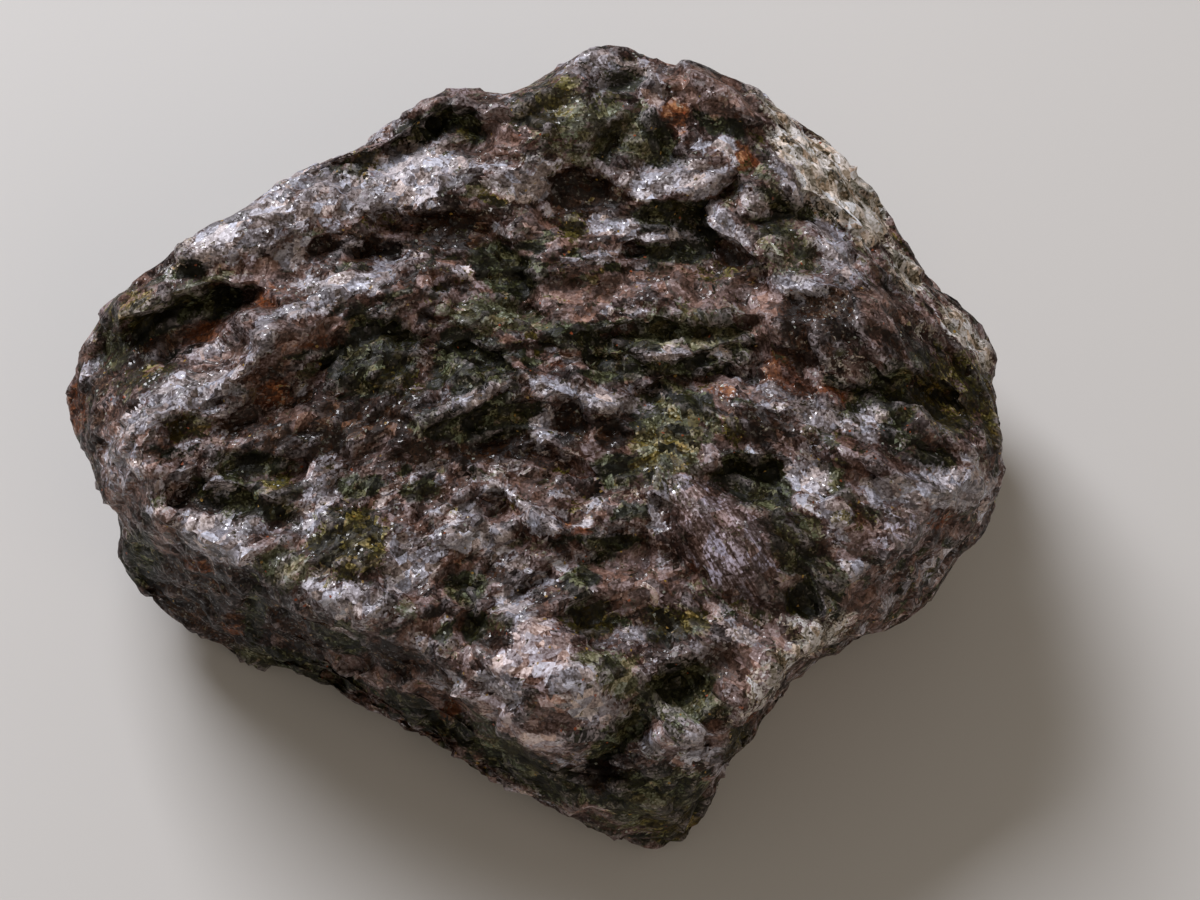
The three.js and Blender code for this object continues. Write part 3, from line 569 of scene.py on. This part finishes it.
MINERALS = {
    # patches; elsewhere, how long the waves are in which it drifts in and out, and how much of it comes
    # through; and what share of all the crystals are single ones of it, scattered through the rest
    "brown": (BROWN, 6.5, 0.55, 0.16),
    "black": (BLACK, 7.0, 0.60, 0.13),
    "grey_green": (GREY_GREEN, 6.0, 0.32, 0.04),
    "mauve_brown": (MAUVE_BROWN, 6.5, 0.42, 0.14),
    "rust": (RUST, 5.0, 0.10, 0.01),
    "pale": (PALE, 7.0, 0.46, 0.12),
    "striped": (STRIPED, 8.0, 0.0, 0.0),
    "milky": (MILKY, 8.0, 0.08, 0.01),
    "rind": (RIND, 9.0, 0.12, 0.0),
    "gold": (GOLD, 5.0, 0.14, 0.02),
}
ROUND_THE_RIM = (-0.2, 0.1)   # how squarely a place faces the eye for patches to start and to be whole
BY_PLACE = 0.45               # share of a patch's strength that fades by place, and the rest goes by crystal
CROWDING = 1.3                # how fast a patch keeps the drifting minerals out
DRIFT_LEVEL = 0.35
DRIFT_EDGE = (0.75, 1.15)     # a drifting mineral starts and is whole at these, less its share
BETWEEN_PATCHES = 0.35        # how much of the drifting comes through on the broad face
SINGLE_STRENGTH = 0.85        # of the scattered crystals
AT_THE_BACK = 0.5             # and the share of them that is left on the sides and the back

points = corners()
facing = smoothstep(*ROUND_THE_RIM, normals() @ OUT)
home, middles, turns = layers[1]
middle_facing = np.zeros(len(middles))
np.maximum.at(middle_facing, home, facing)
right, up, near = as_seen(points)
middle_right, middle_up, _ = as_seen(middles)
placed = {}
for mineral, (patches, *_) in MINERALS.items():
    by_place = patch_strength(patches, right, up) * facing
    by_crystal = patch_strength(patches, middle_right, middle_up) * middle_facing
    placed[mineral] = BY_PLACE * by_place + (1 - BY_PLACE) * by_crystal[home]
taken = np.clip(np.max(list(placed.values()), axis=0) * CROWDING, 0, 1)
picks = np.array([random.random() for _ in middles])
picked_up_to = 0.0
for number, (mineral, (_, wave, share, singles)) in enumerate(MINERALS.items()):
    level = drifting(middles, wave, (17.3 * number, 5.1, 9.7)) + DRIFT_LEVEL
    drift = smoothstep(DRIFT_EDGE[0] - share, DRIFT_EDGE[1] - share, level)
    drift = drift * (1 - (1 - BETWEEN_PATCHES) * middle_facing)
    left = singles * (AT_THE_BACK + (1 - AT_THE_BACK) * middle_facing)
    single = (picks >= picked_up_to) & (picks < picked_up_to + left)
    picked_up_to += singles
    values = placed[mineral] + np.maximum(drift, SINGLE_STRENGTH * single)[home] * (1 - taken)
    stone.data.attributes.new(mineral, "FLOAT", "POINT").data.foreach_set("value", values)

# Each crystal has its own tone, and its own turn and place in the grain that the material draws. Both change
# at once from one crystal to the next, so they are told for each face's own corners.
STRIATION = -57       # degrees that the fine lines on the striped crystal rise
APART = 40            # millimetres that the grain may be shifted from crystal to crystal
corner_at = np.empty(len(stone.data.loops), dtype=int)
stone.data.loops.foreach_get("vertex_index", corner_at)
first_at = np.empty(len(stone.data.polygons), dtype=int)
stone.data.polygons.foreach_get("loop_start", first_at)
sides = np.empty(len(stone.data.polygons), dtype=int)
stone.data.polygons.foreach_get("loop_total", sides)
own_at = np.repeat(corner_at[first_at], sides)
own = home[own_at]
tones = np.array([random.random() for _ in middles])
stone.data.attributes.new("tone", "FLOAT", "CORNER").data.foreach_set("value", tones[own])
on_striped = patch_strength(STRIPED[:1], right[own_at], up[own_at]) > 0.5
turn = np.where(on_striped, math.radians(STRIATION), turns[own])
c, s = np.cos(turn), np.sin(turn)
along = right[corner_at] * c + up[corner_at] * s + np.where(on_striped, 0, tones[own] * APART)
steep = up[corner_at] * c - right[corner_at] * s
grain = stone.data.attributes.new("grain", "FLOAT_VECTOR", "CORNER")
grain.data.foreach_set("vector", np.stack((along, steep, near[corner_at]), axis=1).ravel())

# Painted shade in the clefts, and raised edges painted lighter, partly as real bruising and partly as painted
# highlight: how far each corner lies under its neighbours, or over them.
ROUNDS = 3              # of neighbours
CLEFT_SHADE_DEPTHS = (0.02, 0.2)     # millimetres under them for the painted shade to start and to be whole
BRUISE_AND_HIGHLIGHT_HEIGHTS = (0.03, 0.2)      # and over them for the bruise and the painted highlight
SHARED = 0.4            # share of each depth that is its neighbours'
pairs = np.empty(len(stone.data.edges) * 2, dtype=int)
stone.data.edges.foreach_get("vertices", pairs)
pairs = pairs.reshape(-1, 2)
count = np.bincount(pairs.ravel(), minlength=len(points))[:, None]


def spread(values):
    """The mean of each corner's neighbours."""
    total = np.zeros_like(values)
    np.add.at(total, pairs[:, 0], values[pairs[:, 1]])
    np.add.at(total, pairs[:, 1], values[pairs[:, 0]])
    return total / count


around = points
for _ in range(ROUNDS):
    around = spread(around)
depth = ((around - points) * normals()).sum(axis=1)[:, None]
depth = ((1 - SHARED) * depth + SHARED * spread(depth))[:, 0]
stone.data.attributes.new("cleft", "FLOAT", "POINT").data.foreach_set("value", smoothstep(*CLEFT_SHADE_DEPTHS, depth))
stone.data.attributes.new("edge", "FLOAT", "POINT").data.foreach_set("value", smoothstep(*BRUISE_AND_HIGHLIGHT_HEIGHTS, -depth))


def colour(hex_code):
    """A colour as the shader takes it, from its sRGB hex value."""
    parts = [int(hex_code[i:i + 2], 16) / 255 for i in (1, 3, 5)]
    return (*[p / 12.92 if p <= 0.04045 else ((p + 0.055) / 1.055) ** 2.4 for p in parts], 1)


# Raw indigo gabbro, broken. Its feldspar and hornblende part along flat cleavage planes, so each grain is a
# small facet turned its own way: most are dark and glassy, and the ones that face the light flash white.
gabbro = bpy.data.materials.new("raw_indigo_gabbro")
gabbro.use_nodes = True
tree = gabbro.node_tree
tree.nodes.clear()


def add(kind, inputs=None, **settings):
    """Adds a node with its settings, and sets or links its inputs."""
    made = tree.nodes.new(kind)
    for setting, value in settings.items():
        setattr(made, setting, value)
    for socket, value in (inputs or {}).items():
        if isinstance(value, bpy.types.NodeSocket):
            tree.links.new(value, made.inputs[socket])
        else:
            made.inputs[socket].default_value = value
    return made


# The grain, in millimetres: chips and splinters along each crystal, fine lines, and the smallest grains.
CHIP = (1.5, 0.75, 0.75)
SPLINTER = (1.0, 0.32, 0.32)
STREAK = (3.0, 0.14, 0.6)
LINE = (2.8, 0.17, 1.4)       # on the striped crystal
GLITTER = 0.15
CLOUD = 0.9                   # soft clouds to a millimetre
MOTTLE = 2.2                  # mottles to a millimetre
WARP = 1.6                    # bends in the grain to a millimetre
BENT = (0.1, 0.1, 0.1)        # and how far they go
FIBRES = {"Scale": 1, "Detail": 2.5, "Roughness": 0.6}     # streaks and lines

place = add("ShaderNodeTexCoord").outputs["Object"]
place = add("ShaderNodeVectorMath", {0: place, 1: (1 / MM, 1 / MM, 1 / MM)}, operation="MULTIPLY").outputs[0]
grain = add("ShaderNodeAttribute", attribute_name="grain").outputs["Vector"]
warp = add("ShaderNodeTexNoise", {"Vector": place, "Scale": WARP, "Detail": 2}).outputs["Color"]
bent = add("ShaderNodeVectorMath", {0: warp, 1: BENT, 2: grain}, operation="MULTIPLY_ADD").outputs[0]
in_chips = add("ShaderNodeVectorMath", {0: bent, 1: CHIP}, operation="DIVIDE").outputs[0]
chips = add("ShaderNodeTexVoronoi", {"Vector": in_chips, "Scale": 1}).outputs["Color"]
in_splinters = add("ShaderNodeVectorMath", {0: bent, 1: SPLINTER}, operation="DIVIDE").outputs[0]
splinters = add("ShaderNodeTexVoronoi", {"Vector": in_splinters, "Scale": 1}).outputs["Color"]
glitter = add("ShaderNodeTexVoronoi", {"Vector": place, "Scale": 1 / GLITTER}).outputs["Color"]
in_streaks = add("ShaderNodeVectorMath", {0: grain, 1: STREAK}, operation="DIVIDE").outputs[0]
streaks = add("ShaderNodeTexNoise", {"Vector": in_streaks, **FIBRES}).outputs[0]
in_lines = add("ShaderNodeVectorMath", {0: grain, 1: LINE}, operation="DIVIDE").outputs[0]
lines = add("ShaderNodeTexNoise", {"Vector": in_lines, **FIBRES}).outputs[0]
cloud = add("ShaderNodeTexNoise", {"Vector": place, "Scale": CLOUD, "Detail": 4, "Roughness": 0.7}).outputs[0]
mottle = add("ShaderNodeTexNoise",
             {"Vector": place, "Scale": MOTTLE, "Detail": 6, "Roughness": 0.8}).outputs[0]
chip = add("ShaderNodeSeparateColor", {0: chips})
splinter = add("ShaderNodeSeparateColor", {0: splinters})
glint = add("ShaderNodeSeparateColor", {0: glitter})
tone = add("ShaderNodeAttribute", attribute_name="tone").outputs["Fac"]

# Ragged borders: each mineral's strength is nudged by the grain before it is cut off.
RAG_MIDDLE = 1.0
rag = cloud
for source, weight in ((chip.outputs[0], 0.35), (splinter.outputs[0], 0.3), (glint.outputs[0], 0.35)):
    rag = add("ShaderNodeMath", {0: source, 1: weight, 2: rag}, operation="MULTIPLY_ADD").outputs[0]
BORDERS = {
    # how far the grain nudges each mineral, and how soft its border is
    "brown": (0.6, 0.20), "black": (0.45, 0.12), "grey_green": (1.2, 0.12), "mauve_brown": (0.6, 0.16),
    "rust": (0.8, 0.16), "pale": (1.15, 0.14), "striped": (1.0, 0.18), "milky": (1.0, 0.16),
    "rind": (1.4, 0.14), "gold": (1.5, 0.10),
}
shares = {}
for mineral, (nudge, soft) in BORDERS.items():
    strength = add("ShaderNodeAttribute", attribute_name=mineral).outputs["Fac"]
    nudged = add("ShaderNodeMath", {0: rag, 1: nudge, 2: strength}, operation="MULTIPLY_ADD").outputs[0]
    border = 0.5 + nudge * RAG_MIDDLE
    shares[mineral] = add("ShaderNodeMapRange", {"Value": nudged, "From Min": border - soft,
                                                 "From Max": border + soft}).outputs[0]

# Within a mineral the tone goes by crystal, chip, splinter, mottle, streak and grain.
DARKENED = -0.22
shading = DARKENED
for source, weight in ((tone, 0.30), (chip.outputs[1], 0.24), (splinter.outputs[1], 0.12), (mottle, 0.5),
                       (streaks, 0.06), (glint.outputs[1], 0.24)):
    shading = add("ShaderNodeMath", {0: source, 1: weight, 2: shading}, operation="MULTIPLY_ADD").outputs[0]
BY_SHADING, BY_LINES = 0.8, 0.6      # on the striped crystal
lined = add("ShaderNodeMath", {0: shading, 1: BY_SHADING}, operation="MULTIPLY").outputs[0]
lined = add("ShaderNodeMath", {0: lines, 1: BY_LINES, 2: lined}, operation="MULTIPLY_ADD").outputs[0]
# Each mineral's colours, from its darkest tone to its lightest, and where in the tone they come.
SHADES = {
    "mauve": ((0.2, "#140b07"), (0.45, "#37261f"), (0.62, "#604c44"), (0.85, "#9f8f8e")),
    "brown": ((0.2, "#0d0603"), (0.5, "#21140b"), (0.7, "#3d291a"), (0.88, "#725845")),
    "black": ((0.2, "#080801"), (0.46, "#161607"), (0.64, "#2f3016"), (0.84, "#7b8263")),
    "grey_green": ((0.2, "#151509"), (0.48, "#33331c"), (0.68, "#67694c"), (0.86, "#b9bea6")),
    "mauve_brown": ((0.2, "#2c1f19"), (0.45, "#59463d"), (0.65, "#846d65"), (0.85, "#c0aca6")),
    "rust": ((0.2, "#201008"), (0.45, "#462817"), (0.65, "#754628"), (0.85, "#b5845b")),
    "pale": ((0.2, "#372e2b"), (0.42, "#6c6668"), (0.6, "#a09ea4"), (0.82, "#eaebf2")),
    "striped": ((0.46, "#1d1310"), (0.64, "#44352f"), (0.78, "#6c5f5e"), (0.92, "#b5adb8")),
    "milky": ((0.2, "#5b4842"), (0.42, "#948482"), (0.6, "#c3b9ba"), (0.82, "#f4f1f6")),
    "rind": ((0.2, "#36321f"), (0.4, "#888371"), (0.55, "#c9c5ba"), (0.78, "#f8f7f2")),
    "gold": ((0.3, "#100e03"), (0.58, "#322c0b"), (0.75, "#69612b"), (0.9, "#b9ae79")),
}
# The feldspar is clear enough to take a tint, warm in one chip and bluish in the next. Here and there a flake
# of mica shows, coppery or golden, or as pale as glass.
TINTS = ((0.0, "#ffdcc4"), (0.35, "#fff0ea"), (0.65, "#f2effa"), (1.0, "#dfe5f6"))
TINTED = 0.7              # share of it that comes through
FLAKES = ((0.0, "#8f938a"), (0.35, "#8f7238"), (0.75, "#8c4626"))
FLAKES_ABOVE = 0.997      # of 0 to 1
drivers = {"striped": lined, "tint": chip.outputs[2], "flake": glint.outputs[0]}
ramps = {}
for name, stops in {**SHADES, "tint": TINTS, "flake": FLAKES}.items():
    made = add("ShaderNodeValToRGB", {0: drivers.get(name, shading)})
    made.color_ramp.interpolation = "CONSTANT" if name == "flake" else "LINEAR"
    for element, (at, hex_code) in zip(made.color_ramp.elements, (stops[0], stops[-1])):
        element.position = at
        element.color = colour(hex_code)
    for at, hex_code in stops[1:-1]:
        made.color_ramp.elements.new(at).color = colour(hex_code)
    ramps[name] = made.outputs[0]
skin = ramps["mauve"]
for mineral, share in shares.items():
    skin = add("ShaderNodeMix", {0: share, 6: skin, 7: ramps[mineral]}, data_type="RGBA").outputs[2]
skin = add("ShaderNodeMix", {0: TINTED, 6: skin, 7: ramps["tint"]}, data_type="RGBA",
           blend_type="MULTIPLY").outputs[2]
# Raised edges are painted pale, partly as real bruising and partly as painted highlight, and the clefts get
# painted shade.
BRUISE_AND_HIGHLIGHT_COLOUR = "#a59ca0"
CLEFT_SHADE_COLOUR = "#0d0a08"
CLEFT_SHADE_SHARE = 0.3      # share of the painted shade that comes through
# Raised edges painted lighter: partly real bruising, partly painted highlight.
edge = add("ShaderNodeAttribute", attribute_name="edge").outputs["Fac"]
edge = add("ShaderNodeMath", {0: edge, 1: splinter.outputs[0]}, operation="MULTIPLY").outputs[0]
edge = add("ShaderNodeMath", {0: edge, 1: glint.outputs[1]}, operation="MULTIPLY").outputs[0]
skin = add("ShaderNodeMix", {0: edge, 6: skin, 7: colour(BRUISE_AND_HIGHLIGHT_COLOUR)}, data_type="RGBA").outputs[2]
# Painted shade: corners that lie under their neighbours are darkened.
cleft = add("ShaderNodeAttribute", attribute_name="cleft").outputs["Fac"]
cleft = add("ShaderNodeMath", {0: cleft, 1: CLEFT_SHADE_SHARE}, operation="MULTIPLY").outputs[0]
skin = add("ShaderNodeMix", {0: cleft, 6: skin, 7: colour(CLEFT_SHADE_COLOUR)}, data_type="RGBA").outputs[2]
flake = add("ShaderNodeMath", {0: glint.outputs[2], 1: FLAKES_ABOVE}, operation="GREATER_THAN").outputs[0]
not_striped = add("ShaderNodeMath", {0: 1, 1: shares["striped"]}, operation="SUBTRACT").outputs[0]
flake = add("ShaderNodeMath", {0: flake, 1: not_striped}, operation="MULTIPLY").outputs[0]
skin = add("ShaderNodeMix", {0: flake, 6: skin, 7: ramps["flake"]}, data_type="RGBA").outputs[2]

# Each chip, splinter and grain leans its own way, and a few of the grains are bare cleavage faces that flash.
CHIP_LEAN = 0.5
SPLINTER_LEAN = 0.3
GRAIN_LEAN = 0.3
PALE_GRAIN_LEAN = 0.2     # more in the pale feldspar
STREAK_DEPTH = 0.015      # millimetres
BARE = 0.9                # grains above this, of 0 to 1, are bare
LESS_IN_BLACK = -0.8      # they show this much less in the hornblende, which is dull
ROUGH = (0.36, 0.62)      # roughness, from splinter to splinter
BARE_ROUGH = 0.2          # and of the bare grains
SHEEN = 0.15              # specular level
PALE_SHEEN = 0.35         # more in the pale feldspar
BARE_SHEEN = 0.35         # and on the bare grains
FELDSPAR_IOR = 1.55
SMOOTH_UP_TO = 22         # degrees between facets
grain_lean = add("ShaderNodeMath", {0: shares["pale"], 1: PALE_GRAIN_LEAN, 2: GRAIN_LEAN},
                 operation="MULTIPLY_ADD").outputs[0]
leaning = add("ShaderNodeNewGeometry").outputs["Normal"]
for cells, amount in ((chips, CHIP_LEAN), (splinters, SPLINTER_LEAN), (glitter, grain_lean)):
    lean = add("ShaderNodeVectorMath", {0: cells, 1: (0.5, 0.5, 0.5)}, operation="SUBTRACT").outputs[0]
    lean = add("ShaderNodeVectorMath", {0: lean, "Scale": amount}, operation="SCALE").outputs[0]
    leaning = add("ShaderNodeVectorMath", {0: leaning, 1: lean}, operation="ADD").outputs[0]
leaning = add("ShaderNodeVectorMath", {0: leaning}, operation="NORMALIZE").outputs[0]
grooved = add("ShaderNodeBump", {"Height": streaks, "Strength": 1.0, "Distance": STREAK_DEPTH * MM,
                                 "Normal": leaning}).outputs[0]
bare = add("ShaderNodeMath", {0: glint.outputs[2], 1: BARE}, operation="GREATER_THAN").outputs[0]
less = add("ShaderNodeMath", {0: shares["black"], 1: LESS_IN_BLACK, 2: 1},
           operation="MULTIPLY_ADD").outputs[0]
bare = add("ShaderNodeMath", {0: bare, 1: less}, operation="MULTIPLY").outputs[0]
rough = add("ShaderNodeMapRange", {"Value": splinter.outputs[2], "To Min": ROUGH[0],
                                   "To Max": ROUGH[1]}).outputs[0]
rough = add("ShaderNodeMix", {0: bare, 2: rough, 3: BARE_ROUGH}).outputs[0]
sheen = add("ShaderNodeMath", {0: shares["pale"], 1: PALE_SHEEN, 2: SHEEN},
            operation="MULTIPLY_ADD").outputs[0]
sheen = add("ShaderNodeMath", {0: bare, 1: BARE_SHEEN, 2: sheen}, operation="MULTIPLY_ADD").outputs[0]
shader = add("ShaderNodeBsdfPrincipled", {"Base Color": skin, "Roughness": rough, "Normal": grooved,
                                          "IOR": FELDSPAR_IOR, "Specular IOR Level": sheen})
add("ShaderNodeOutputMaterial", {"Surface": shader.outputs[0]})
stone.data.materials.append(gabbro)
bpy.ops.object.shade_smooth_by_angle(angle=math.radians(SMOOTH_UP_TO))

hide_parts("stone")
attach(stone, "root")

# The studio: a plain pale floor, one wide cool light high behind the stone, which rakes its ledges as in the
# photograph, and a weak warm fill from the front.
FLOOR_SIZE = 3000
FLOOR_COLOUR = "#cfcecc"
FLOOR_ROUGH = 0.9
SKY_COLOUR = "#f5ecdf"
SKY_STRENGTH = 0.22
LIGHTS = [
    # name, place in millimetres from the stone, size, power and colour
    ("key", (-190, 290, 345), 240, 2.5, "#f9f9ff"),
    ("fill", (260, -420, 360), 500, 0.6, "#ffe6cc"),
]

bpy.ops.mesh.primitive_plane_add(size=FLOOR_SIZE * MM)
floor = bpy.context.object
floor.name = "floor"
paper = bpy.data.materials.new("matt_grey_white_paper")
paper.use_nodes = True
paper.node_tree.nodes["Principled BSDF"].inputs["Base Color"].default_value = colour(FLOOR_COLOUR)
paper.node_tree.nodes["Principled BSDF"].inputs["Roughness"].default_value = FLOOR_ROUGH
floor.data.materials.append(paper)

for name, at, size, power, hex_code in LIGHTS:
    bpy.ops.object.light_add(type="AREA", location=Vector(at) * MM)
    lamp = bpy.context.object
    lamp.name = name
    lamp.data.size = size * MM
    lamp.data.energy = power
    lamp.data.color = colour(hex_code)[:3]
    lamp.rotation_euler = (-Vector(at)).to_track_quat("-Z", "Y").to_euler()

sky = bpy.data.worlds.new("studio")
sky.use_nodes = True
sky.node_tree.nodes["Background"].inputs["Color"].default_value = colour(SKY_COLOUR)
sky.node_tree.nodes["Background"].inputs["Strength"].default_value = SKY_STRENGTH
bpy.context.scene.world = sky
bpy.context.scene.view_settings.view_transform = "Standard"

# The camera looks down on the broad face from where the photograph was taken.
FRAME_WIDTH = 78.6        # millimetres across the picture at the core's distance
SENSOR = 36.0
RIGHT_OF_CORE = 3.93      # the stone sits a little left of the picture's middle
NEAREST = 10              # millimetres from the eye

bpy.ops.object.camera_add()
camera = bpy.context.object
camera.data.sensor_width = SENSOR
camera.data.lens = SENSOR * SIGHT_DISTANCE / FRAME_WIDTH
camera.data.clip_start = NEAREST * MM
camera.location = Vector(CORE + OUT * SIGHT_DISTANCE + RIGHT * RIGHT_OF_CORE) * MM
camera.rotation_euler = (math.pi / 2 - SIGHT_ELEVATION, 0, 0)
bpy.context.scene.camera = camera
